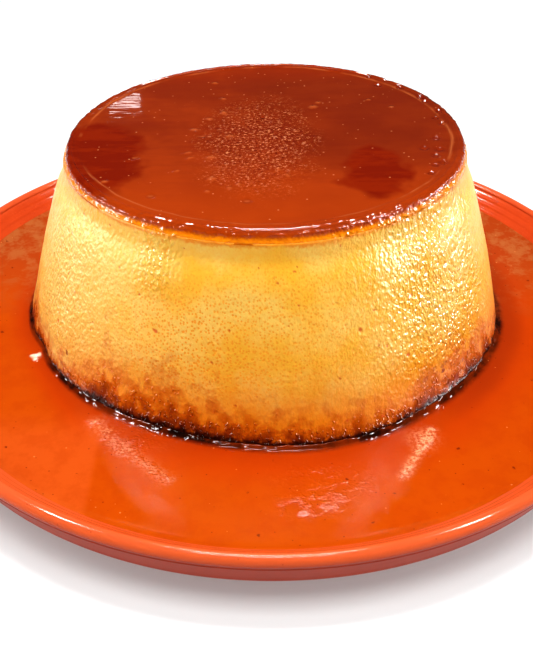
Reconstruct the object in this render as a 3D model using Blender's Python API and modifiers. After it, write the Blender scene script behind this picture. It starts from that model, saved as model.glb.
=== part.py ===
"""Leche flan turned out on its plate: custard, its caramel layer and the caramel that ran into the dish.

Metres, +Z up. The origin lies on the table, under the centre of the plate.
"""

import math

import bpy
from mathutils import Vector

CLEAR = 0.0003  # gap kept between pieces that touch
MERGE = 0.00001  # merge distance where an outline meets its axis
STEPS = 80  # steps of every turned piece
SHARP = math.radians(40)  # corners sharper than this stay crisp in the shading

# Plate: a thick glazed dish with a level floor, a sloping wall and a beaded rim.
PLATE_R = 0.1350
RIM_TOP_Z = 0.0240
BEAD_R = 0.0022
BEAD_RISE = math.radians(115)  # turn of the bead past the slope of the wall inside it
BEAD_DROP = math.radians(-60)  # where the bead's underside meets the wall below
FLOOR_TOP_Z = 0.0125
UNDERSIDE_Z = 0.0060
COVE_CORNER_R = 0.1190  # where floor and wall would meet without the cove
COVE_R = 0.0140
WALL_SLOPE = math.radians(40)
OUTER_WALL_TOP = (0.1339, 0.0196)
OUTER_WALL_FOOT = (0.1299, 0.0104)
OUTER_WALL_ROUND = 0.0030
BELLY_CORNER = (0.1240, 0.0072)
BELLY_ROUND = 0.0120
UNDERSIDE_R = 0.1000
FOOT_RING_R = 0.0930
FOOT_RING_WIDTH = 0.0090
FOOT_RING_ROUND = 0.0008
FOOT_RING_TAPER = 0.0010

# Caramel sauce: a shallow pool that creeps up both the plate's wall and the flan.
POOL_Z = 0.0160
CREEP_RISE = 0.0007
CREEP_REACH = 0.0028
CREEP_BEND_REACH = 1 / 3  # share of the reach where the creep starts to level out
CREEP_BEND_RISE = 1 / 4  # share of the rise that is left there
UNDERSIDE_SHARES = (0.95, 0.70, 0.45, 0.20)  # points of the underside that follows the plate's cove
POOL_FREE_R = 0.1060  # farther out than this the pool keeps to the plate's circle

# Custard: a blunt cone with a slight belly and a slight neck under its caramel.
RISE = 0.0693  # from the sauce's level to the top of the flan
FOOT_R = 0.0889
TOP_R = 0.0699
BELLY = 0.0009
NECK = 0.0009
NECK_AT = 0.86  # share of the rise
NECK_REACH = 0.07
CUSTARD_ROUND = 0.0012
WALL_RINGS = 8

# Caramel layer: the disc of set caramel on top, round-shouldered and dished a little.
LAYER_THICK = 0.0037
SHOULDER_R = 0.0023
LAYER_DISH = 0.0004
RIDGE_R = 0.0640  # the dish starts inside this radius
DISH_SLOPE = 0.0060  # width of the slope down from there

# How the flan stands: off the plate's centre, leaning, with a wavy foot and one crease.
PLACE = (-0.0018, 0.0084)
LEAN_X = -0.0003  # sideways travel of the top
TILT = 0.0280  # rise of the top for each metre along X
WAVES = (  # lobes round the foot, height, bearing of a crest
    (2, 0.0012, math.radians(168)),
    (3, 0.0006, math.radians(40)),
    (5, 0.0007, math.radians(281)),
    (7, 0.0003, math.radians(30)),
)
WAVES_LEFT_AT_TOP = 0.2
CREASE_BEARING = math.radians(204)
CREASE_DEPTH = 0.0014
CREASE_WIDTH = math.radians(4.5)
CREASE_RISE = 0.0160


# ---- outlines: lists of (radius, height), from the top of the outer side downwards


def arc(centre, radius, start, end, steps):
    """Points along an arc; angles are counted from the outward direction, upwards."""
    points = []
    for i in range(steps + 1):
        angle = start + (end - start) * i / steps
        points.append((centre[0] + radius * math.cos(angle), centre[1] + radius * math.sin(angle)))
    return points


def fillet(before, corner, after, radius, steps):
    """The rounded corner between two straight runs."""
    corner = Vector(corner)
    back = (Vector(before) - corner).normalized()
    ahead = (Vector(after) - corner).normalized()
    half = back.angle(ahead) / 2
    centre = corner + (back + ahead).normalized() * (radius / math.sin(half))
    first = corner + back * (radius / math.tan(half)) - centre
    last = corner + ahead * (radius / math.tan(half)) - centre
    start = math.atan2(first.y, first.x)
    sweep = math.remainder(math.atan2(last.y, last.x) - start, math.tau)
    return arc(centre, radius, start, start + sweep, steps)


def plate_outline():
    """From the middle of the floor, over the rim and back to the middle underneath."""
    bead = (PLATE_R - BEAD_R, RIM_TOP_Z - BEAD_R)
    cove_corner = (COVE_CORNER_R, FLOOR_TOP_Z)
    up_wall = (COVE_CORNER_R + math.cos(WALL_SLOPE), FLOOR_TOP_Z + math.sin(WALL_SLOPE))
    ring_in = FOOT_RING_R - FOOT_RING_WIDTH
    outside = (FOOT_RING_R, UNDERSIDE_Z)
    outside_foot = (FOOT_RING_R - FOOT_RING_TAPER, 0)
    inside_foot = (ring_in + FOOT_RING_TAPER, 0)
    inside = (ring_in, UNDERSIDE_Z)
    points = [(0, FLOOR_TOP_Z)]
    points += fillet((0, FLOOR_TOP_Z), cove_corner, up_wall, COVE_R, steps=5)
    points += arc(bead, BEAD_R, WALL_SLOPE + BEAD_RISE, BEAD_DROP, steps=8)
    points.append(OUTER_WALL_TOP)
    points += fillet(OUTER_WALL_TOP, OUTER_WALL_FOOT, BELLY_CORNER, OUTER_WALL_ROUND, steps=2)
    points += fillet(OUTER_WALL_FOOT, BELLY_CORNER, (UNDERSIDE_R, UNDERSIDE_Z), BELLY_ROUND, steps=2)
    points += [(UNDERSIDE_R, UNDERSIDE_Z), outside]
    points += fillet(outside, outside_foot, inside_foot, FOOT_RING_ROUND, steps=2)
    points += fillet(outside_foot, inside_foot, inside, FOOT_RING_ROUND, steps=2)
    points += [inside, (0, UNDERSIDE_Z)]
    return points


def plate_floor_height(radius):
    """Height of the plate's inner face at a radius."""
    reach = COVE_R * math.tan(WALL_SLOPE / 2)
    start = COVE_CORNER_R - reach
    end = COVE_CORNER_R + reach * math.cos(WALL_SLOPE)
    if radius <= start:
        return FLOOR_TOP_Z
    if radius >= end:
        return FLOOR_TOP_Z + (radius - COVE_CORNER_R) * math.tan(WALL_SLOPE)
    return FLOOR_TOP_Z + COVE_R - math.sqrt(COVE_R**2 - (radius - start) ** 2)


def flan_radius(height):
    """Radius of the flan's side at a height, before it settled."""
    share = (height - POOL_Z) / RISE
    belly = BELLY * math.sin(math.pi * share / NECK_AT) if 0 < share < NECK_AT else 0
    neck = NECK * math.exp(-(((share - NECK_AT) / NECK_REACH) ** 2))
    return FOOT_R + (TOP_R - FOOT_R) * share + belly - neck


def custard_outline():
    """The custard alone, from its hidden top face down to the face it stands on."""
    top = POOL_Z + RISE - LAYER_THICK - CLEAR
    foot = FLOOR_TOP_Z + CLEAR
    side = []
    for i in range(WALL_RINGS + 1):
        height = top + (foot - top) * i / WALL_RINGS
        side.append((flan_radius(height), height))
    points = [(0, top)]
    points += fillet((0, top), side[0], side[1], CUSTARD_ROUND / 2, steps=1)
    points += side[1:-1]
    points += fillet(side[-2], side[-1], (0, foot), CUSTARD_ROUND, steps=2)
    points.append((0, foot))
    return points


def layer_outline():
    """The set caramel: dished top, round shoulder, straight side and flat underside."""
    top = POOL_Z + RISE
    bottom = top - LAYER_THICK
    edge = (TOP_R, top)
    lower_edge = (flan_radius(bottom) + CLEAR, bottom)
    points = [(0, top - LAYER_DISH), (RIDGE_R - DISH_SLOPE, top - LAYER_DISH), (RIDGE_R, top)]
    points += fillet((0, top), edge, lower_edge, SHOULDER_R, steps=4)
    points += fillet(edge, lower_edge, (0, bottom), CUSTARD_ROUND / 2, steps=1)
    points.append((0, bottom))
    return points


def pool_outline():
    """The ring of sauce, from the level surface outwards, down the wall and back under."""
    foot = FLOOR_TOP_Z + CLEAR
    inner_top = flan_radius(POOL_Z + CREEP_RISE) + CLEAR
    inner_foot = flan_radius(foot) + CLEAR
    drop = CLEAR / math.cos(WALL_SLOPE)  # the gap over the wall, measured straight down
    shore_z = POOL_Z + CREEP_RISE
    shore = COVE_CORNER_R + (shore_z - drop - FLOOR_TOP_Z) / math.tan(WALL_SLOPE)
    reach = COVE_R * math.tan(WALL_SLOPE / 2)
    bend_reach = CREEP_REACH * CREEP_BEND_REACH
    bend_z = POOL_Z + CREEP_RISE * CREEP_BEND_RISE
    points = [(inner_top, shore_z), (inner_top + bend_reach, bend_z)]
    points += [(inner_top + CREEP_REACH, POOL_Z), (shore - CREEP_REACH, POOL_Z)]
    points += [(shore - bend_reach, bend_z), (shore, shore_z)]
    for share in UNDERSIDE_SHARES:
        radius = COVE_CORNER_R - reach + share * (shore - COVE_CORNER_R + reach)
        points.append((radius, plate_floor_height(radius) + drop))
    points.append((COVE_CORNER_R - reach, foot))
    points.append((inner_foot, foot))
    return points


# ---- pieces


def material(name, colour, roughness):
    made = bpy.data.materials.new(name)
    made.use_nodes = True
    shader = made.node_tree.nodes["Principled BSDF"]
    shader.inputs["Base Color"].default_value = (*colour, 1)
    shader.inputs["Roughness"].default_value = roughness
    shader.inputs["Metallic"].default_value = 0
    made.diffuse_color = (*colour, 1)
    return made


def turned(name, outline, closed, look, collection):
    """An outline spun about Z; a closed outline makes a ring, an open one starts and ends on the axis."""
    mesh = bpy.data.meshes.new(name)
    edges = [(i, i + 1) for i in range(len(outline) - 1)]
    if closed:
        edges.append((len(outline) - 1, 0))
    mesh.from_pydata([(r, 0, z) for r, z in outline], edges, [])
    mesh.materials.append(look)
    piece = bpy.data.objects.new(name, mesh)
    collection.objects.link(piece)
    screw = piece.modifiers.new("Turn", "SCREW")
    screw.axis = "Z"
    screw.angle = math.tau
    screw.steps = STEPS
    screw.render_steps = STEPS
    screw.use_merge_vertices = True
    screw.merge_threshold = MERGE
    screw.use_smooth_shade = True
    return piece


def settled(point):
    """Where a point of the straight, upright flan lies once it has settled on the plate."""
    radius = math.hypot(point.x, point.y)
    bearing = math.atan2(point.y, point.x)
    share = max(0.0, (point.z - POOL_Z) / RISE)
    wave = sum(height * math.cos(lobes * (bearing - crest)) for lobes, height, crest in WAVES)
    wave *= 1 + (WAVES_LEFT_AT_TOP - 1) * share
    turn = math.remainder(bearing - CREASE_BEARING, math.tau) / CREASE_WIDTH
    crease = CREASE_DEPTH * math.exp(-(turn**2) - (share * RISE / CREASE_RISE) ** 2)
    moved = radius + (wave - crease) * min(1.0, radius / TOP_R)
    x = PLACE[0] + LEAN_X * share + moved * math.cos(bearing)
    y = PLACE[1] + moved * math.sin(bearing)
    z = point.z + TILT * share * moved * math.cos(bearing)
    return Vector((x, y, z))


def settle(piece, free_radius):
    """Makes the turned piece a plain mesh and settles each of its points inside a radius."""
    bpy.context.view_layer.update()
    shaped = piece.evaluated_get(bpy.context.evaluated_depsgraph_get())
    mesh = bpy.data.meshes.new_from_object(shaped)
    piece.modifiers.clear()
    piece.data = mesh
    for vertex in mesh.vertices:
        if math.hypot(vertex.co.x, vertex.co.y) < free_radius:
            vertex.co = settled(vertex.co)
    mesh.shade_smooth()
    mesh.set_sharp_from_angle(angle=SHARP)


def build():
    for old in list(bpy.data.objects):
        bpy.data.objects.remove(old, do_unlink=True)
    flan = bpy.data.collections.new("leche_flan")
    bpy.context.scene.collection.children.link(flan)

    glaze = material("orange_glaze", (0.84, 0.16, 0.045), 0.12)
    egg_custard = material("egg_custard", (0.93, 0.56, 0.13), 0.35)
    set_caramel = material("set_caramel", (0.42, 0.08, 0.008), 0.10)
    sauce = material("caramel_sauce", (0.60, 0.12, 0.008), 0.06)

    turned("plate", plate_outline(), False, glaze, flan)
    custard = turned("custard", custard_outline(), False, egg_custard, flan)
    layer = turned("caramel_layer", layer_outline(), False, set_caramel, flan)
    pool = turned("caramel_pool", pool_outline(), True, sauce, flan)
    settle(custard, PLATE_R)
    settle(layer, PLATE_R)
    settle(pool, POOL_FREE_R)


build()
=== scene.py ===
import math

import bpy
import numpy as np
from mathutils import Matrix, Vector


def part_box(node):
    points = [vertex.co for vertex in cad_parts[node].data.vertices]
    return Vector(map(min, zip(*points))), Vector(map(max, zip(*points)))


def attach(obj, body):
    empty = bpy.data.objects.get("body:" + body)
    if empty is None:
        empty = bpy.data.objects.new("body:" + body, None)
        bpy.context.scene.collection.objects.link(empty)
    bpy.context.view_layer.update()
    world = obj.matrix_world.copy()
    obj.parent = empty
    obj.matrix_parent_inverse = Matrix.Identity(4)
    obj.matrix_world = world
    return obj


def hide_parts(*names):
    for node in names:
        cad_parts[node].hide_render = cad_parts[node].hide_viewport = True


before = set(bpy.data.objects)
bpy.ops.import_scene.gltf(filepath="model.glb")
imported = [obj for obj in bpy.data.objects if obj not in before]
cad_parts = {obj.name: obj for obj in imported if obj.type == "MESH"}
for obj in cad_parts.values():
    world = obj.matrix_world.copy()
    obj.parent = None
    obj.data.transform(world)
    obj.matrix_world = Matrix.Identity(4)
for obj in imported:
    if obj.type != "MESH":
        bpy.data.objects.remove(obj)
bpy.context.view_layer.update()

MM = 0.001


# ---- The plate
# A thrown stoneware dinner plate with a level floor, a sloping wall and a beaded rim, dipped in
# a glossy coral-orange glaze. Throwing lines show on the wall; the foot ring is left bare.

plate_low, plate_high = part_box("plate")
plate_radius = (plate_high.x - plate_low.x) / 2 / MM
rim_top = plate_high.z / MM
floor_top = 12.5
wall_foot_radius = 119.0
wall_slope = math.radians(40)
cove_radius = 14.0


class Tone:
    """A socket of a finish, so that a pattern over the surface reads as plain arithmetic."""

    def __init__(self, socket):
        self.socket = socket

    def node(self, kind, settings, inputs, output=0):
        """Adds any node beside this one; its settings come first, then the values of its sockets."""
        tree = self.socket.id_data
        made = tree.nodes.new(kind)
        for name, value in settings.items():
            if name == "stops":
                ramp = made.color_ramp
                while len(ramp.elements) < len(value):
                    ramp.elements.new(0.5)
                for element, (place, colour) in zip(ramp.elements, value):
                    element.position = place
                    element.color = (*colour, 1)
            else:
                setattr(made, name, value)
        for name, value in inputs.items():
            if isinstance(value, Tone):
                tree.links.new(value.socket, made.inputs[name])
            else:
                made.inputs[name].default_value = value
        return Tone(made.outputs[output])

    def math(self, operation, first, second):
        return self.node("ShaderNodeMath", {"operation": operation}, {0: first, 1: second})

    def __add__(self, other):
        return self.math("ADD", self, other)

    def __radd__(self, other):
        return self.math("ADD", other, self)

    def __sub__(self, other):
        return self.math("SUBTRACT", self, other)

    def __rsub__(self, other):
        return self.math("SUBTRACT", other, self)

    def __mul__(self, other):
        return self.math("MULTIPLY", self, other)

    def __rmul__(self, other):
        return self.math("MULTIPLY", other, self)

    def __truediv__(self, other):
        return self.math("DIVIDE", self, other)

    def __pow__(self, other):
        return self.math("POWER", self, other)

    def band(self, low, high):
        """0 below low, 1 above high and smooth between them."""
        inputs = {"Value": self, "From Min": low, "From Max": high}
        return self.node("ShaderNodeMapRange", {"interpolation_type": "SMOOTHSTEP"}, inputs)

    def tint(self, under, over):
        """The colour under where this is 0, and over where it is 1."""
        inputs = {"Factor": self, 6: under, 7: over}
        return self.node("ShaderNodeMix", {"data_type": "RGBA"}, inputs, 2)

    def stretched(self, x, y, z):
        """Coordinates multiplied along each axis."""
        return self.node("ShaderNodeVectorMath", {"operation": "MULTIPLY"}, {0: self, 1: (x, y, z)})

    def noise(self, size, detail=3, roughness=0.55):
        """Cloudy noise, about 0.5 on average, with lumps of the given size in mm."""
        inputs = {"Vector": self, "Scale": 1 / size, "Detail": detail, "Roughness": roughness}
        return self.node("ShaderNodeTexNoise", {}, inputs)

    def warped(self, size, reach):
        """Coordinates pushed about by up to this reach in mm, so that a shape drawn on them is uneven."""
        inputs = {"Vector": self, "Scale": 1 / size, "Detail": 2}
        push = self.node("ShaderNodeTexNoise", {}, inputs, "Color")
        push = push.node("ShaderNodeVectorMath", {"operation": "SUBTRACT"}, {0: push, 1: (0.5, 0.5, 0.5)})
        inputs = {0: push, 1: (4 * reach, 4 * reach, 4 * reach), 2: self}
        return self.node("ShaderNodeVectorMath", {"operation": "MULTIPLY_ADD"}, inputs)

    def cells(self, size, output="Distance", layout="3D"):
        """Distance to the nearest of the scattered points that lie about this far apart in mm."""
        settings = {"voronoi_dimensions": layout}
        return self.node("ShaderNodeTexVoronoi", settings, {"Vector": self, "Scale": 1 / size}, output)

    def picked(self, size, share, layout="3D"):
        """1 in about this share of the cells of that size, 0 in the others."""
        inputs = {"Color": self.cells(size, "Color", layout)}
        return self.node("ShaderNodeSeparateColor", {}, inputs).band(1 - share, 1.02 - share)

    def spot(self, centre, reach, soft=0.15):
        """1 inside the upright oval around a centre (x, y), 0 outside it."""
        shifted = self.node("ShaderNodeVectorMath", {"operation": "SUBTRACT"}, {0: self, 1: (*centre, 0)})
        flat = shifted.stretched(1 / reach[0], 1 / reach[1], 0)
        away = flat.node("ShaderNodeVectorMath", {"operation": "LENGTH"}, {0: flat}, "Value")
        return 1 - away.band(1 - soft, 1 + soft)


class Finish:
    """A new material: its main shader, and the place on the surface in mm."""

    def __init__(self, name, **constants):
        self.material = bpy.data.materials.new(name)
        self.material.use_nodes = True
        self.shader = self.material.node_tree.nodes["Principled BSDF"]
        for socket, value in constants.items():
            self.shader.inputs[socket.replace("_", " ")].default_value = value
        maker = Tone(self.shader.outputs[0])
        place = maker.node("ShaderNodeTexCoord", {}, {}, "Object")
        self.place = place.stretched(1 / MM, 1 / MM, 1 / MM)
        self.maker = maker

    def measure(self, name):
        """A value that the mesh carries at each of its points."""
        return self.maker.node("ShaderNodeAttribute", {"attribute_name": name}, {}, "Fac")

    def axis(self, name):
        return self.maker.node("ShaderNodeSeparateXYZ", {}, {"Vector": self.place}, name)

    def feed(self, socket, tone):
        self.material.node_tree.links.new(tone.socket, self.shader.inputs[socket])

    def relief(self, height, depth_mm):
        """Fine relief; the height tone runs from 0 to 1 over this many mm."""
        settings = {"Height": height, "Distance": depth_mm * MM, "Strength": 1.0}
        self.feed("Normal", self.maker.node("ShaderNodeBump", {}, settings))


def lumps(points, size, seed):
    """A smooth random height between -1 and 1 at each point, with lumps about this size."""
    spot = points / size + 11.7 * seed
    corner = np.floor(spot).astype(np.int64)
    part = spot - corner
    part = part * part * (3 - 2 * part)
    height = 0.0
    for dx in (0, 1):
        for dy in (0, 1):
            for dz in (0, 1):
                x, y, z = corner[..., 0] + dx, corner[..., 1] + dy, corner[..., 2] + dz
                mixed = (x * 73856093) ^ (y * 19349663) ^ (z * 83492791) ^ (seed * 2654435)
                mixed = ((mixed & 0xFFFFFFFF) * 1274126177) & 0xFFFFFFFF
                mixed = ((mixed ^ (mixed >> 15)) * 40503) & 0xFFFFFFFF
                value = ((mixed ^ (mixed >> 13)) & 0xFFFF) / 32767.5 - 1
                weight = np.abs(1 - dx - part[..., 0]) * np.abs(1 - dy - part[..., 1])
                height = height + value * weight * np.abs(1 - dz - part[..., 2])
    return height


def step(value, low, high):
    """0 below low, 1 above high and smooth between them."""
    share = np.clip((value - low) / (high - low), 0, 1)
    return share * share * (3 - 2 * share)


def spun_piece(name, rows, look, measures=None, closed=False):
    """A mesh from rings of points in mm, given from the top outwards and down the outer side."""
    count, steps = rows.shape[:2]
    points = rows.reshape(-1, 3) * MM
    index = np.arange(count * steps).reshape(count, steps)
    upper = index if closed else index[:-1]
    lower = np.roll(index, -1, axis=0) if closed else index[1:]
    quads = np.stack([upper, lower, np.roll(lower, -1, axis=1), np.roll(upper, -1, axis=1)], -1)
    faces = quads.reshape(-1, 4).tolist()
    if not closed:
        faces.append(index[0].tolist())
        faces.append(index[-1][::-1].tolist())
    mesh = bpy.data.meshes.new(name)
    mesh.from_pydata(points.tolist(), [], faces)
    for measure, values in (measures or {}).items():
        mesh.attributes.new(measure, "FLOAT", "POINT").data.foreach_set("value", values.ravel())
    mesh.shade_smooth()
    mesh.materials.append(look)
    made = bpy.data.objects.new(name, mesh)
    bpy.context.scene.collection.objects.link(made)
    return made


def bend(centre, radius, start, end, steps):
    """Points (radius, height) along an arc; angles in degrees from the outward direction."""
    angles = np.radians(np.linspace(start, end, steps))
    return np.stack([centre[0] + radius * np.cos(angles), centre[1] + radius * np.sin(angles)], 1)


def run(start, end, steps):
    """Points along a straight stretch, without its end."""
    return np.linspace(start, end, steps, endpoint=False)


def plate_face(radius):
    """Height of the plate's inner face in mm."""
    reach = cove_radius * math.tan(wall_slope / 2)
    start = wall_foot_radius - reach
    bent = np.clip(radius - start, 0, cove_radius * math.sin(wall_slope))
    cove = floor_top + cove_radius - np.sqrt(cove_radius**2 - bent**2)
    wall = floor_top + (radius - wall_foot_radius) * math.tan(wall_slope)
    end = wall_foot_radius + reach * math.cos(wall_slope)
    return np.where(radius < start, floor_top, np.where(radius < end, cove, wall))


bead_radius = 2.2
bead = (plate_radius - bead_radius, rim_top - bead_radius)
wall_radii = np.concatenate([np.linspace(4, 108, 14), np.linspace(112, 122.4, 14)])
inner = np.stack([wall_radii, plate_face(wall_radii)], 1)
upper_radii = np.linspace(122.7, bead[0] - bead_radius * math.sin(wall_slope) - 0.35, 40)
upper = np.stack([upper_radii, plate_face(upper_radii)], 1)
outline = np.concatenate([
    inner,
    upper,
    bend(bead, bead_radius, 150, -42, 26),
    bend((bead[0] + 1.9, bead[1] - 2.15), 0.55, 120, 215, 7),
    run((133.75, 18.9), (130.4, 11.6), 12),
    bend((127.3, 11.4), 2.9, -12, -62, 6),
    run((127.6, 8.3), (122.3, 7.1), 5),
    run((121.5, 7.0), (100.5, 6.05), 10),
    run((99.5, 6.0), (94.6, 6.0), 4),
    bend((94.6, 4.4), 1.6, 90, 180, 5),
    run((92.95, 4.2), (92.4, 1.0), 5),
    bend((91.4, 1.0), 1.0, 0, -90, 5),
    run((91.0, 0.0), (86.0, 0.0), 3),
    bend((85.6, 1.0), 1.0, -90, -180, 5),
    run((84.55, 1.4), (84.0, 4.6), 4),
    bend((82.6, 4.6), 1.4, 0, 90, 5),
    run((82.0, 6.0), (4.0, 6.0), 10),
])
steps = 500
turn = np.linspace(0, 2 * math.pi, steps, endpoint=False)
profile = np.repeat(outline[:, None, :], steps, axis=1)
wall_share = step(profile[..., 0], 122.5, 124) * step(-profile[..., 0], -131.5, -130)
wall_share = wall_share * step(profile[..., 1], 14, 15)
spiral = profile[..., 0] + 0.35 * turn / (2 * math.pi)
throwing = 0.06 * np.sin(2 * math.pi * spiral / 2.3) + 0.03 * np.sin(2 * math.pi * spiral / 1.1)
round_points = np.stack(
    [profile[..., 0] * np.cos(turn), profile[..., 0] * np.sin(turn), profile[..., 1]], -1
)
wobble = 0.06 * lumps(round_points, 38, 3) * step(profile[..., 1], 2, 8)
lift = np.clip(throwing * wall_share + wobble, -0.2, 0.2)
round_points[..., 2] += lift
round_points[..., 2] = np.clip(round_points[..., 2], 0, rim_top)

glaze = Finish("coral_glaze", Specular_IOR_Level=0.16)
height = glaze.axis("Z")
clouds = glaze.place.noise(26, 4)
grain = glaze.place.noise(0.9, 3)
specks = glaze.place.cells(3.1).band(0.05, 0.12)
thin = height.band(rim_top - 2.6, rim_top - 0.6)
colour = clouds.band(0.3, 0.7).tint((0.52, 0.058, 0.012, 1), (0.60, 0.076, 0.016, 1))
colour = (grain.band(0.55, 0.75) * 0.35).tint(colour, (0.68, 0.10, 0.028, 1))
colour = (thin * 0.35).tint(colour, (0.74, 0.15, 0.055, 1))
# Painted light: the front half of the plate is painted a lighter coral than the back.
plate_front_painted_light = 1 - glaze.axis("Y").band(-95, 40)
colour = (plate_front_painted_light * 0.45).tint(colour, (0.68, 0.125, 0.036, 1))
colour = ((1 - specks) * 0.5).tint(colour, (0.42, 0.045, 0.012, 1))
# Painted shade: the outer wall, which faces down and away from the lamps, is painted darker.
outer = glaze.measure("outside")
colour = (outer * 0.8).tint(colour, (0.32, 0.020, 0.003, 1))
bare = 1 - height.band(0.25, 0.9)
clay = grain.tint((0.52, 0.35, 0.22, 1), (0.63, 0.45, 0.30, 1))
glaze.feed("Base Color", bare.tint(colour, clay))
glaze.feed("Roughness", bare * 0.6 + outer * 0.3 + grain * 0.04 + 0.06)
glaze.relief(glaze.place.noise(3.5, 2) * 0.7 + grain * 0.3, 0.05)

outside = step(-profile[..., 1], -rim_top + 1.5, -rim_top + 3.5)
outside[: len(inner) + len(upper)] = 0
plate = spun_piece("plate_glazed", round_points, glaze.material, {"outside": outside})
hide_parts("plate")
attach(plate, "root")


# ---- The custard
# Steamed egg and condensed-milk custard, set in one piece and turned out of its mould. Its skin is
# moist and full of tiny steam holes; caramel has soaked it brown where it stands in the sauce.

custard_low, custard_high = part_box("custard")
pool_low, pool_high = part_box("caramel_pool")
layer_low, layer_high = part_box("caramel_layer")
creep = 0.7
pool_level = pool_high.z / MM - creep
rise = 69.3
foot_radius = 88.9
top_radius = 69.9
layer_thick = 3.7
flan_x = -1.8
flan_y = 8.4
lean_x = -0.3
tilt = 0.028
waves = ((2, 1.2, 168), (3, 0.6, 40), (5, 0.7, 281), (7, 0.3, 30))
crease_bearing = math.radians(204)


def flan_side(z):
    """Radius of the flan's side at a height in mm, before it settled."""
    share = (z - pool_level) / rise
    belly = 0.9 * np.sin(np.pi * np.clip(share / 0.86, 0, 1))
    neck = 0.9 * np.exp(-(((share - 0.86) / 0.07) ** 2))
    return foot_radius + (top_radius - foot_radius) * share + belly - neck


def settled(radius, bearing, z):
    """Where a point of the upright flan lies once it has settled on the plate, in mm."""
    share = np.maximum(0, (z - pool_level) / rise)
    wave = 0
    for lobes, size, crest in waves:
        wave = wave + size * np.cos(lobes * (bearing - math.radians(crest)))
    wave = wave * (1 - 0.8 * share)
    turned = np.angle(np.exp(1j * (bearing - crease_bearing))) / math.radians(4.5)
    crease = 1.4 * np.exp(-(turned**2) - (share * rise / 16) ** 2)
    out = radius + (wave - crease) * np.minimum(1, radius / top_radius)
    x = flan_x + lean_x * share + out * np.cos(bearing)
    y = flan_y + out * np.sin(bearing)
    return np.stack([x, y, z + tilt * share * out * np.cos(bearing)], -1)


steps = 780
turn = np.linspace(0, 2 * math.pi, steps, endpoint=False)
custard_top = pool_level + rise - layer_thick - 0.1
side_z = np.linspace(custard_top, custard_low.z / MM, 112)
row_z = np.repeat(side_z[:, None], steps, axis=1)
bearing = np.repeat(turn[None, :], len(side_z), axis=0)
skin = settled(flan_side(row_z), bearing, row_z)
above = row_z - pool_level
front = np.cos(bearing - math.radians(265))
upright = skin * np.array([1, 1, 0.25])
relief = 0.16 * lumps(skin, 13, 1) + 0.07 * lumps(skin, 4.6, 2) + 0.035 * lumps(skin, 1.9, 3)
relief += 0.05 * lumps(upright, 2.4, 4) * (0.4 + 0.6 * (1 - np.clip(front, 0, 1)))
ragged = step(-above, -9, 0)
relief += ragged * (0.20 * lumps(upright, 3.2, 5) + 0.11 * lumps(skin, 1.7, 6))
relief -= 0.4 * step(-above, -1.5, 1.5) * ragged

rng = np.random.default_rng(7)
pit = np.zeros_like(row_z)
along = (bearing - math.radians(90)) % (2 * math.pi) * 80
for _ in range(150):
    where = rng.uniform(0, 2 * math.pi) * 80
    up = rng.uniform(3, 63)
    size = rng.choice([0.4, 0.55, 0.8], p=[0.55, 0.35, 0.10])
    reach = (np.abs(along[0] - where) < 3 * size).nonzero()[0]
    far = ((along[:, reach] - where) ** 2 + (above[:, reach] - up) ** 2) / size**2
    pit[:, reach] = np.maximum(pit[:, reach], np.exp(-far))
relief -= 0.15 * pit
skin[..., 0] += relief * np.cos(bearing)
skin[..., 1] += relief * np.sin(bearing)

inside = np.linspace(0.04, 0.96, 6)[:, None]
crown = settled(inside * flan_side(custard_top) + 0 * turn, turn + 0 * inside, custard_top + 0 * inside * turn)
base_z = custard_low.z / MM
base = settled(inside[::-1] * flan_side(base_z) + 0 * turn, turn + 0 * inside, base_z + 0 * inside * turn)
custard_rows = np.concatenate([crown, skin, base])


def patch(bearing_deg, width_deg, low, high, soft=4):
    """1 over a part of the flan's side around a bearing and between two heights, fading to 0."""
    turned = np.angle(np.exp(1j * (bearing - math.radians(bearing_deg)))) / math.radians(width_deg)
    return np.exp(-(turned**2)) * step(above, low - soft, low + soft) * step(-above, -high - soft, -high + soft)


soaked = 4.4 + 6.2 * patch(-112, 19, -9, 90) + 6 * patch(-128, 3.5, -9, 90) + 4.5 * patch(-38, 15, -9, 90)
soaked += 1.6 * patch(-80, 16, -9, 90) + 3.0 * patch(-166, 5, -9, 90) + 3 * patch(120, 60, -9, 90)
stained = patch(-143, 3, 5, 13, 2) + 1.3 * patch(-166, 5, -9, 14, 3) + patch(-42, 10, -9, 13, 3)
edge_streaks = patch(-170, 14, 8, 75) + 0.6 * patch(-190, 14, 8, 75) + 0.5 * patch(0, 14, 8, 75)
wet = patch(-42, 19, 14, 75, 7) + 0.9 * patch(-117, 5, 47, 66) + 0.5 * patch(-150, 16, 10, 75)
wet += 0.5 * patch(175, 16, 5, 75) + 0.5 * patch(10, 22, 5, 75)
porous = patch(-111, 19, 16, 50, 9) + 0.6 * patch(-80, 22, 20, 60, 8)
pad = np.zeros((6, steps))
custard_measures = {
    "above_sauce": above,
    "along_side": along,
    "steam_hole": pit,
    "soaked": soaked,
    "stained": stained,
    "wet": wet,
    "porous": porous,
    "edge_streaks": edge_streaks,
}
for name, values in custard_measures.items():
    custard_measures[name] = np.concatenate([pad + values[0], values, pad + values[-1]])

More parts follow.
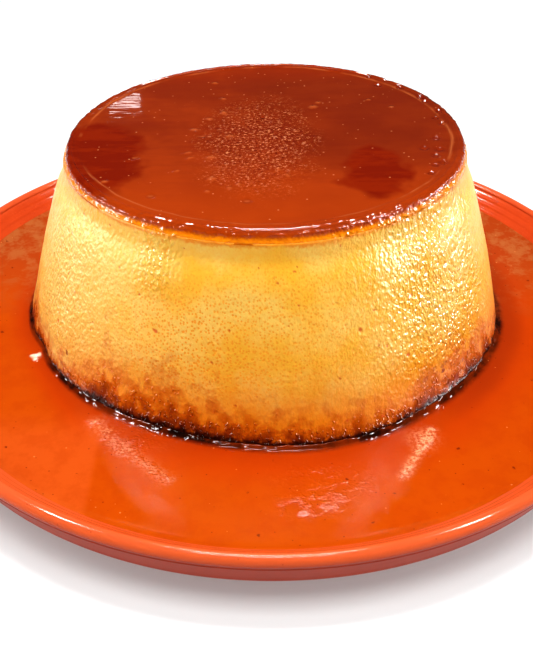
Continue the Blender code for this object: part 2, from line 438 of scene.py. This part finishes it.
custard_look = Finish(
    "egg_custard",
    Specular_IOR_Level=0.22,
    Subsurface_Weight=0.1,
    Subsurface_Scale=0.003,
)
custard_look.shader.inputs["Subsurface Radius"].default_value = (1.0, 0.55, 0.2)
up = custard_look.measure("above_sauce")
hole = custard_look.measure("steam_hole")
soaked = custard_look.measure("soaked")
stained = custard_look.measure("stained")
wet = custard_look.measure("wet")
porous = custard_look.measure("porous")
place = custard_look.place
flat = up.node("ShaderNodeCombineXYZ", {}, {"X": custard_look.measure("along_side"), "Y": up})
drift = place.noise(17, 3)
fine = place.noise(1.3, 3)
squiggle = place.stretched(1, 1, 0.72).noise(1.2, 1.5, 0.5)
drips = place.stretched(1, 1, 0.13).noise(6.5, 3, 0.6)
streaks = place.stretched(1, 1, 0.12).noise(1.3, 3)
edge_streaks = custard_look.measure("edge_streaks")
cream = drift.band(0.32, 0.68).tint((0.87, 0.47, 0.036, 1), (0.88, 0.59, 0.13, 1))
# Painted light: the left side of the custard is painted paler, as if lit from the left.
painted_light_left = 1 - (custard_look.axis("X") + (streaks - 0.5) * 24 + (drift - 0.5) * 30).band(-82, -34)
cream = (painted_light_left * 0.55).tint(cream, (0.90, 0.66, 0.20, 1))
cream = (fine.band(0.35, 0.75) * 0.25).tint(cream, (0.90, 0.38, 0.03, 1))
# Painted shade: the hollows of the wet skin's squiggle relief are painted a deeper orange.
cream = ((1 - squiggle.band(0.36, 0.5)) * wet * 0.65).tint(cream, (0.90, 0.33, 0.02, 1))
cream = (streaks.band(0.4, 0.6) * edge_streaks * 0.85).tint(cream, (0.88, 0.42, 0.03, 1))
fat = place.noise(3.1, 2) * 0.34
holes = 1 - (flat.cells(1.25, layout="2D") - fat).band(0.02, 0.20)
holes = holes * flat.picked(1.25, 0.8, "2D")
pinholes = (1 - flat.cells(0.85, layout="2D").band(0.14, 0.32)) * flat.picked(0.85, 0.45, "2D")
pores = holes * (porous * 0.72 + 0.10) + pinholes * (porous * 0.3 + 0.14)
cream = pores.tint(cream, (0.85, 0.32, 0.014, 1))
blots = place.noise(4.5, 3, 0.6)
wick = soaked * (drips.band(0.3, 0.75) * 0.75 + blots.band(0.3, 0.7) * 0.8 + 0.25)
climbed = (up + (streaks - 0.5) * 4.5 + (fine - 0.5) * 3) / wick
soak = 1 - (up + (drips - 0.5) * 18).band(2, 28)
far_left = 1 - custard_look.axis("X").band(-79, -57)
cream = (soak * (1 - far_left) * 0.92).tint(cream, (0.87, 0.28, 0.002, 1))
cream = (1 - climbed.band(0.3, 2.6)).tint(cream, (0.62, 0.13, 0.001, 1))
cream = (1 - climbed.band(0.15, 1.05)).tint(cream, (0.22, 0.028, 0.003, 1))
black = 1 - (up + (fine - 0.5) * 2 - wick * 0.16).band(0.2, 2.2)
cream = (black * 0.95).tint(cream, (0.020, 0.003, 0.001, 1))
spots = stained * (1 - place.warped(2, 0.6).cells(3.4).band(0.22, 0.40))
cream = (spots * 0.9).tint(cream, (0.28, 0.028, 0.002, 1))
under_layer = up + (fine - 0.5) * 2.6 + (drift - 0.5) * 4
cream = (under_layer.band(rise - 5.9, rise - 4.0) * 0.9).tint(cream, (0.80, 0.25, 0.006, 1))
cream = (hole.band(0.2, 0.8) * 0.85).tint(cream, (0.62, 0.10, 0.006, 1))
custard_look.feed("Base Color", cream)
damp = 1 - climbed.band(0.6, 1.6)
custard_look.feed("Roughness", fine * 0.12 + 0.41 - wet.math("MAXIMUM", wet, damp * 0.6) * 0.42)
rough_skin = squiggle * (wet * 0.7 + 0.16) * (1 - damp * 0.9) + squiggle.band(0.55, 0.72) * damp * 0.3 + streaks * edge_streaks * 0.5 + fine * 0.06 - pores * 0.03
custard_look.relief(rough_skin, 1.35)

custard = spun_piece("custard_skin", custard_rows, custard_look.material, custard_measures)
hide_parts("custard")
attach(custard, "root")


# ---- The caramel on top
# Burnt-sugar caramel that set in the bottom of the mould: a glossy amber disc with a soft shoulder,
# a faint inner ridge and a rough, beaded edge where it was cut loose from the mould.

layer_top = pool_level + rise
layer_foot = layer_top - layer_thick
shoulder = 2.3
flat_radii = np.concatenate([np.linspace(1.2, 48, 44), np.linspace(48.6, top_radius - shoulder, 40)])
crown_z = layer_top - 0.4
over = bend((top_radius - shoulder, layer_top - shoulder), shoulder, 88, 4, 12)
side = run((top_radius + 0.05, layer_top - shoulder - 0.2), (flan_side(layer_foot), layer_foot), 6)
lip = flan_side(layer_foot)
tuck = np.array([[lip + 0.12, layer_foot - 0.5], [lip - 1.2, layer_foot - 0.4]])
flat_part = np.stack([flat_radii, crown_z + 0 * flat_radii], 1)
outline = np.concatenate([flat_part, over, side, tuck, run((66, layer_foot), (2, layer_foot), 4)])
steps = 760
turn = np.linspace(0, 2 * math.pi, steps, endpoint=False)
radius = np.repeat(outline[:, :1], steps, axis=1)
row_z = np.repeat(outline[:, 1:], steps, axis=1)
bearing = np.repeat(turn[None, :], len(outline), axis=0)
spot = np.stack([radius * np.cos(bearing), radius * np.sin(bearing), row_z], -1)
edge = step(radius, 65.5, 68) * step(row_z, layer_foot - 1.5, layer_foot + 0.5)
rough = edge * (0.17 * lumps(spot, 2.1, 11) + 0.08 * lumps(spot, 1.1, 12) + 0.12 * lumps(spot, 7, 13))
top_share = step(row_z, layer_top - 1.2, layer_top - 0.6)
ripple = 0.02 * lumps(spot, 19, 14) + 0.006 * lumps(spot * np.array([0.5, 1.4, 1]), 4.5, 15)
inset = radius - 0.9 * lumps(spot, 19, 16) - 0.3 * lumps(spot, 5, 17)
border = step(inset, 64.6, 65.5)
border = border * step(-row_z, -layer_top - 1, -layer_top + 1.5)
crater = np.zeros_like(radius)
for x, y, size in (
    (39, 61, 1.0), (42, 53, 1.2), (47, 58, 1.3), (50, 50, 1.5), (57, 40, 1.5), (58, 36, 1.1), (62, 27, 1.4),
    (62, 16, 1.1), (58, 4, 1.3), (53, -4, 1.4), (58, -5, 1.6), (56, -10, 1.2), (58, -15, 1.5), (55, -17, 1.1),
    (53, -23, 1.0), (60, 21, 0.8), (-46, -9, 0.8), (-7, -41, 1.2), (-38, -37, 1.1), (-3, 24, 0.8), (-24, 8, 1.2),
):
    far = np.hypot(spot[..., 0] - x + flan_x, spot[..., 1] - y + flan_y) / size
    crater = np.maximum(crater, np.exp(-(far**2)))
bubble = np.zeros_like(radius)
for x, y, size in (
    (-22, 57, 0.9), (-18, 41, 0.8), (-17, 27, 0.9), (-22, 22, 1.0), (-27, 13, 1.0), (-24, 8, 0.7), (-14, 7, 1.1),
    (-28, -6, 0.8), (-27, -10, 0.7), (-20, -10, 1.2), (-54, -27, 0.9), (-46, -9, 0.7), (-38, -37, 0.8),
    (-19, -26, 1.1), (-7, -41, 0.8), (-20, -35, 0.7), (-17, 28, 0.8), (16, 32, 1.3), (18, 36, 0.9), (45, 31, 0.7),
    (37, 38, 0.7), (3, -19, 0.7), (6, -24, 0.7), (-10, -30, 0.6), (-31, -20, 0.6), (-13, -33, 0.7),
):
    far = np.hypot((spot[..., 0] - x + flan_x) / 1.25, spot[..., 1] - y + flan_y) / size
    bubble = np.maximum(bubble, np.exp(-(far**4)))
radius = radius + rough
row_z = row_z + top_share * (ripple + 0.38 * border - 0.7 * crater + 0.32 * bubble)
row_z = row_z + 0.4 * rough * step(radius, 64, 67)
layer_rows = settled(radius, bearing, row_z)

caramel = Finish("set_caramel", Specular_IOR_Level=0.2)
place = caramel.place
low_down = caramel.measure("below_top")
streaks = place.stretched(0.35, 1.3, 1).noise(7, 5, 0.6)
clouds = place.noise(24, 3)
grain = place.noise(0.9, 3)
amber = clouds.band(0.3, 0.7).tint((0.20, 0.020, 0.0028, 1), (0.275, 0.033, 0.0038, 1))
amber = (streaks.band(0.42, 0.72) * 0.55).tint(amber, (0.19, 0.017, 0.004, 1))
# Painted reflection: the front half of the top is painted a lighter amber.
caramel_front_sheen = 1 - caramel.axis("Y").band(-50, 2)
amber = (caramel_front_sheen * 0.5).tint(amber, (0.42, 0.055, 0.003, 1))
uneven = place.warped(9, 3.4)
amber = (uneven.spot((28, 28), (44, 46), 0.4) * 0.5).tint(amber, (0.14, 0.013, 0.0025, 1))
# Painted reflection: two dark patches on the top stand for dark reflections, and the streaks in them are painted
# too.
painted_dark_reflections = uneven.spot((-60, -9), (16, 28), 0.16) + uneven.spot((35, -22), (11, 18), 0.22)
amber = (painted_dark_reflections * 0.95).tint(amber, (0.165, 0.008, 0.0003, 1))
amber = (painted_dark_reflections * streaks.band(0.45, 0.6) * 0.4).tint(amber, (0.27, 0.022, 0.0006, 1))
back = caramel.axis("Y").band(52, 72)
amber = (back * 0.5).tint(amber, (0.25, 0.020, 0.0006, 1))
sand = place.noise(1.1, 5, 0.75)
speckled = place.warped(9, 5).spot((-5, 2), (17, 33), 0.5)
amber = ((1 - sand.band(0.38, 0.50)) * speckled * 0.8).tint(amber, (0.11, 0.008, 0.002, 1))
specks = sand.band(0.55, 0.62) * speckled
specks = specks + place.picked(1.3, 0.05) * (1 - place.cells(1.3).band(0.15, 0.32)) * 0.7
amber = (specks * 0.8).tint(amber, (0.66, 0.24, 0.09, 1))
amber = (caramel.measure("crater") * 0.8).tint(amber, (0.16, 0.008, 0.001, 1))
amber = (caramel.measure("bubble") * 0.45).tint(amber, (0.52, 0.13, 0.03, 1))
# Painted highlight: a light line is painted along the inner ridge, strongest at the left and right.
ridge = caramel.measure("ridge") * place.noise(15, 2).band(0.42, 0.62)
amber = (ridge * 0.45).tint(amber, (0.60, 0.18, 0.05, 1))
# Below the shoulder the side darkens, then turns bright orange near its foot: partly the caramel's own colour,
# partly a painted glow of light shining through the thin caramel.
rim = low_down + (grain - 0.5) * 1.2
amber = (rim.band(0.6, 2.2) * 0.9).tint(amber, (0.46, 0.060, 0.001, 1))
amber = (rim.band(1.7, 3.6) * 0.95).tint(amber, (0.84, 0.25, 0.005, 1))
caramel.feed("Base Color", amber)
caramel.feed("Roughness", place.noise(2.0, 3) * 0.02 + 0.02)
crinkled = caramel.measure("crinkled")
height = place.noise(1.9, 1.2, 0.5) * (crinkled * 1.9 + 0.002) + place.stretched(0.35, 1.2, 1).noise(3.5, 1) * 0.03 + specks * 0.05
caramel.relief(height, 0.8)

right_front = np.exp(-((np.angle(np.exp(1j * (bearing + math.radians(52)))) / 0.42) ** 2))
crinkled = step(row_z, layer_foot - 2, layer_foot) * step(-row_z, -layer_top + 0.55, -layer_top + 1.4)
crinkled = crinkled * (0.15 + 0.85 * step(-np.sin(bearing), -0.5, 0.1))
layer_measures = {
    "below_top": layer_top - row_z,
    "ridge": np.exp(-(((inset - 65.1) / 0.35) ** 2)) * top_share,
    "crater": crater * top_share,
    "bubble": bubble * top_share,
    "crinkled": crinkled * (0.5 + 0.5 * right_front),
}
layer = spun_piece("caramel_top", layer_rows, caramel.material, layer_measures)
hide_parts("caramel_layer")
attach(layer, "root")


# ---- The caramel sauce
# Thin caramel that ran off the flan and lies level in the plate. It is nearly black where it clings
# to the custard's foot, and orange where the glaze shines through the shallow edge.

steps = 860
turn = np.linspace(0, 2 * math.pi, steps, endpoint=False)
bearing = np.repeat(turn[None, :], 1, axis=0)
foot = settled(flan_side(pool_level) + 0 * turn, turn, pool_level + 0 * turn)[:, :2]
shore_radius = wall_foot_radius + (pool_level + creep - floor_top) / math.tan(wall_slope)
outward = foot / np.linalg.norm(foot, axis=1)[:, None]
shore = shore_radius * np.stack([np.cos(turn), np.sin(turn)], -1)
gap = np.linalg.norm(shore - foot, axis=1)
near = np.array([-0.6, -0.2, 0.1, 0.4, 0.7, 1.0, 1.3, 1.7, 2.1, 2.6, 3.2, 3.9, 4.7, 5.6])
rest = np.linspace(0, 1, 84)[1:]
away = np.concatenate([near[:, None] + 0 * gap, near[-1] + rest[:, None] * (gap + 0.5 - near[-1])])
share = away / gap
surface = foot + (shore - foot) * share[..., None]
spot = np.concatenate([surface, np.zeros_like(away)[..., None]], -1)
cling = 0.85 + 0.35 * lumps(spot, 5.5, 21) + 0.3 * lumps(spot, 1.9, 22)
climb = cling * np.exp(-((np.maximum(away, 0) / 0.75) ** 2)) + 0.22 * np.exp(-np.maximum(away, 0) / 3)
beads = step(lumps(spot, 3.1, 26), 0.0, 0.45)
climb = climb + 0.36 * beads * np.exp(-(((away - 1.1) / 0.55) ** 2))
climb = climb + 0.03 * np.exp(-(((away - 5.0 - 0.8 * lumps(spot, 20, 27)) / 0.7) ** 2))
shore_gap = gap - away
climb = climb + creep * np.exp(-((np.maximum(shore_gap, 0) / 1.6) ** 1.4))
ripple = 0.04 * lumps(spot, 15, 23) + 0.012 * lumps(spot, 4, 24)


def puddle(x, y, wide, deep):
    """1 at a spot on the sauce, fading out over an oval."""
    return np.exp(-(((surface[..., 0] - x) / wide) ** 2) - ((surface[..., 1] - y) / deep) ** 2)


def fold(start, end, wide):
    """1 along a line on the sauce, fading out on both sides."""
    start = np.array(start)
    along = np.array(end) - start
    offset = surface - start
    part = np.clip(offset @ along / (along @ along), 0, 1)
    return np.exp(-((np.linalg.norm(offset - part[..., None] * along, axis=-1) / wide) ** 2))


folded = fold((-57, -69), (-46, -82), 2.6) + 0.8 * fold((-46, -82), (-31, -95), 2.4)
folded += fold((54.5, -70.5), (43, -92.5), 1.5) + 0.7 * puddle(51, -75, 4, 4)
wrinkled = np.clip(folded, 0, 1) + 0.75 * puddle(-44, -78, 9, 5) + 0.5 * puddle(12, -103, 9, 6)
wrinkled = np.clip(wrinkled + 0.35 * puddle(14, -92, 15, 5) + 0.25 * puddle(24, -96, 9, 7), 0, 1)
folded = np.clip(folded, 0, 1)
wrinkle = wrinkled * 0.05 * lumps(spot * np.array([1, 1.8, 1]), 2.4, 25) + 0.12 * folded
froth = puddle(-84.5, -33, 1.5, 1.2) + puddle(-82.6, -32, 1.1, 1.3) + puddle(-83.6, -35, 1.2, 1.0)
froth = np.clip(froth * (0.9 + 0.6 * lumps(spot, 1.0, 28)), 0, 1)
wrinkle = wrinkle + 0.9 * froth
drops = np.zeros_like(away)
for x, y, along, across in (
    (90.4, 16, 2.2, 1.1), (90.3, 9, 2.6, 1.3), (89.8, 1, 4.2, 1.4), (88.4, -9, 3.4, 1.1), (86.2, -16, 2.2, 1.0),
    (80.4, -30, 2.0, 1.0), (69.0, -47, 3.0, 1.1), (60.5, -57.5, 3.4, 1.2),
):
    facing = math.atan2(y - flan_y, x - flan_x)
    out = (surface[..., 0] - x) * math.cos(facing) + (surface[..., 1] - y) * math.sin(facing)
    aside = (surface[..., 1] - y) * math.cos(facing) - (surface[..., 0] - x) * math.sin(facing)
    drops = np.maximum(drops, np.exp(-((out / across) ** 2) - (aside / along) ** 2))
level = pool_level + climb + ripple + wrinkle + 0.55 * drops
sheet = np.concatenate([surface, level[..., None]], -1)
under = []
for back, z in ((0.3, pool_level - 0.4), (3.5, 13.4), (9.0, custard_low.z / MM)):
    under.append(np.concatenate([shore - (shore / shore_radius) * back, z + 0 * turn[:, None]], -1))
under.append(np.concatenate([foot - 0.5 * outward, custard_low.z / MM + 0 * turn[:, None]], -1))
pool_rows = np.concatenate([sheet, np.stack(under)])
pad = np.zeros((4, steps))
sauce_measures = {
    "from_foot": np.concatenate([away, pad + 5]),
    "wrinkled": np.concatenate([wrinkled, pad]),
    "folded": np.concatenate([folded, pad]),
    "froth": np.concatenate([froth, pad]),
}

sauce = Finish("caramel_sauce", Roughness=0.03, Specular_IOR_Level=0.15)
place = sauce.place
from_foot = sauce.measure("from_foot")
wrinkled = sauce.measure("wrinkled")
froth = sauce.measure("froth")
clouds = place.noise(22, 4)
grain = place.noise(1.1, 4, 0.6)
ramp = [
    (0.0, (0.008, 0.002, 0.001)),
    (0.034, (0.014, 0.003, 0.001)),
    (0.052, (0.12, 0.010, 0.001)),
    (0.095, (0.36, 0.034, 0.001)),
    (0.30, (0.43, 0.046, 0.0010)),
    (0.62, (0.46, 0.064, 0.0010)),
    (1.0, (0.47, 0.068, 0.0014)),
]
thin_side = 1 - sauce.axis("X").band(-90, -62)
wide_side = sauce.axis("X").band(30, 66)
near_foot = (from_foot * (thin_side * 1.3 - wide_side * 0.12 + 1) + (grain - 0.5) * 0.6) * (1 / 34)
body = near_foot.node("ShaderNodeValToRGB", {"stops": ramp}, {"Fac": near_foot})
body = (clouds.band(0.35, 0.75) * 0.35).tint(body, (0.44, 0.050, 0.0012, 1))
# Painted reflection: the outer left of the sauce in front is painted lighter, with a straight edge.
left_painted_reflection = (1 - sauce.axis("X").band(-56, -53)) * (1 - sauce.axis("Y").band(-80, -60))
body = (left_painted_reflection * 0.5).tint(body, (0.60, 0.10, 0.016, 1))
murk = place.noise(7, 5, 0.65)
behind = sauce.axis("Y").band(-15, 50)
body = (behind * 0.75).tint(body, (0.34, 0.050, 0.010, 1))
body = (murk.band(0.42, 0.62) * behind * 0.8).tint(body, (0.42, 0.13, 0.035, 1))
body = (murk.band(0.42, 0.64) * (1 - behind) * 0.3).tint(body, (0.38, 0.040, 0.001, 1))
halo = sauce.axis("X").band(50, 80) * (1 - (from_foot + (clouds - 0.5) * 4).band(5, 13))
body = (halo * near_foot.band(0.045, 0.10) * 0.6).tint(body, (0.26, 0.026, 0.002, 1))
# Painted highlights: pale threads in the wrinkled patches and a pale peach line along each fold stand for glints
# and reflections, brighter towards the right.
sparse = place.noise(3.4, 2).band(0.42, 0.6)
painted_glint_threads = grain.band(0.52, 0.66) * wrinkled * sparse
body = (painted_glint_threads * 0.6).tint(body, (0.66, 0.15, 0.025, 1))
bright = sauce.axis("X").band(-20, 40) * 0.5 + 0.35
body = (sauce.measure("folded") * (grain.band(0.4, 0.6) * 0.8 + 0.15) * bright).tint(body, (0.88, 0.38, 0.19, 1))
dots = (1 - place.cells(2.6).band(0.06, 0.12)) * place.picked(2.6, 0.28)
dots = dots + (1 - place.warped(1.6, 0.5).cells(9).band(0.04, 0.08)) * place.picked(9, 0.7)
body = (dots * 0.8).tint(body, (0.13, 0.010, 0.002, 1))
flecks = (1 - place.cells(1.9).band(0.10, 0.20)) * place.picked(1.9, 0.05)
body = (flecks * 0.6).tint(body, (0.76, 0.26, 0.08, 1))
body = froth.band(0.2, 0.7).tint(body, (0.78, 0.55, 0.38, 1))
sauce.feed("Base Color", body)
waves_seen = place.stretched(1, 1.6, 1).noise(1.5, 2, 0.5)
sauce.relief(waves_seen * wrinkled * (sparse * 0.85 + 0.15) + grain * 0.03 + place.noise(4, 2) * 0.05, 0.75)

pool = spun_piece("sauce_pool", pool_rows, sauce.material, sauce_measures, closed=True)
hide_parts("caramel_pool")
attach(pool, "root")


# ---- Floor, lights and camera
# A seamless white table top, broad soft lamps above and at both sides, and a camera that looks
# down on the flan from the front.

floor_mesh = bpy.data.meshes.new("floor")
reach = 4.0
floor_corners = [(-reach, -reach, 0), (reach, -reach, 0), (reach, reach, 0), (-reach, reach, 0)]
floor_mesh.from_pydata(floor_corners, [], [(0, 1, 2, 3)])
floor = bpy.data.objects.new("floor", floor_mesh)
floor.location.z = -0.0002
bpy.context.scene.collection.objects.link(floor)
paper = Finish("white_paper", Roughness=0.95, Specular_IOR_Level=0.0, Emission_Strength=0.2)
paper.shader.inputs["Emission Color"].default_value = (1, 1, 1, 1)
paper.feed("Base Color", paper.place.noise(160, 2).tint((0.60, 0.62, 0.62, 1), (0.63, 0.65, 0.65, 1)))
floor_mesh.materials.append(paper.material)

world = bpy.data.worlds.new("studio")
world.use_nodes = True
bpy.context.scene.world = world
sky = world.node_tree.nodes["Background"]
sky.inputs["Color"].default_value = (1, 1, 1, 1)
sky.inputs["Strength"].default_value = 0.06


def lamp(name, place, size, watts, aim=(0, 0, 0.04)):
    """A soft rectangular lamp that the camera doesn't see."""
    data = bpy.data.lights.new(name, "AREA")
    data.shape = "RECTANGLE"
    data.size = size[0]
    data.size_y = size[1]
    data.energy = watts
    made = bpy.data.objects.new(name, data)
    made.location = place
    made.rotation_euler = (Vector(aim) - Vector(place)).to_track_quat("-Z", "Y").to_euler()
    made.visible_camera = False
    bpy.context.scene.collection.objects.link(made)
    return made


for name, place, size, watts in (
    ("gloss_left", (-0.52, 0.28, 1.1), (0.40, 0.11), 14),
    ("gloss_right", (0.52, 0.28, 1.1), (0.40, 0.11), 14),
    ("gloss_back", (0.0, 0.62, 1.1), (0.36, 0.12), 11),
    ("gloss_panel_left", (-1.0, -0.05, 0.19), (0.5, 0.2), 12),
    ("gloss_panel_right", (1.0, -0.05, 0.19), (0.5, 0.19), 31),
    ("gloss_behind", (-0.224, 0.996, 0.477), (0.042, 0.012), 0.010),
):
    lamp(name, place, size, watts).visible_diffuse = False
lamp("lamp_top", (0, 0.1, 1.25), (0.4, 0.14), 9)
lamp("lamp_side_left", (-1.0, -0.05, 0.3), (0.9, 0.4), 5).visible_glossy = False
lamp("lamp_side_right", (1.0, -0.05, 0.3), (0.9, 0.4), 5.5).visible_glossy = False
lamp("lamp_front", (0, -0.5, 1.75), (1.2, 0.7), 22).visible_glossy = False

camera_data = bpy.data.cameras.new("camera")
camera_data.sensor_width = 36
camera_data.lens = 54.14
camera = bpy.data.objects.new("camera", camera_data)
elevation = math.radians(35.637)
distance = 0.3956
aside = -0.0006
camera.location = (aside, -distance * math.cos(elevation), 0.0042 + distance * math.sin(elevation))
aim = Vector((aside, 0, 0.0042)) - camera.location
camera.rotation_euler = aim.to_track_quat("-Z", "Y").to_euler()
camera.rotation_euler.rotate_axis("Z", math.radians(0.729))
bpy.context.scene.collection.objects.link(camera)
bpy.context.scene.camera = camera
bpy.context.scene.view_settings.view_transform = "Standard"
bpy.context.scene.view_settings.look = "Medium High Contrast"
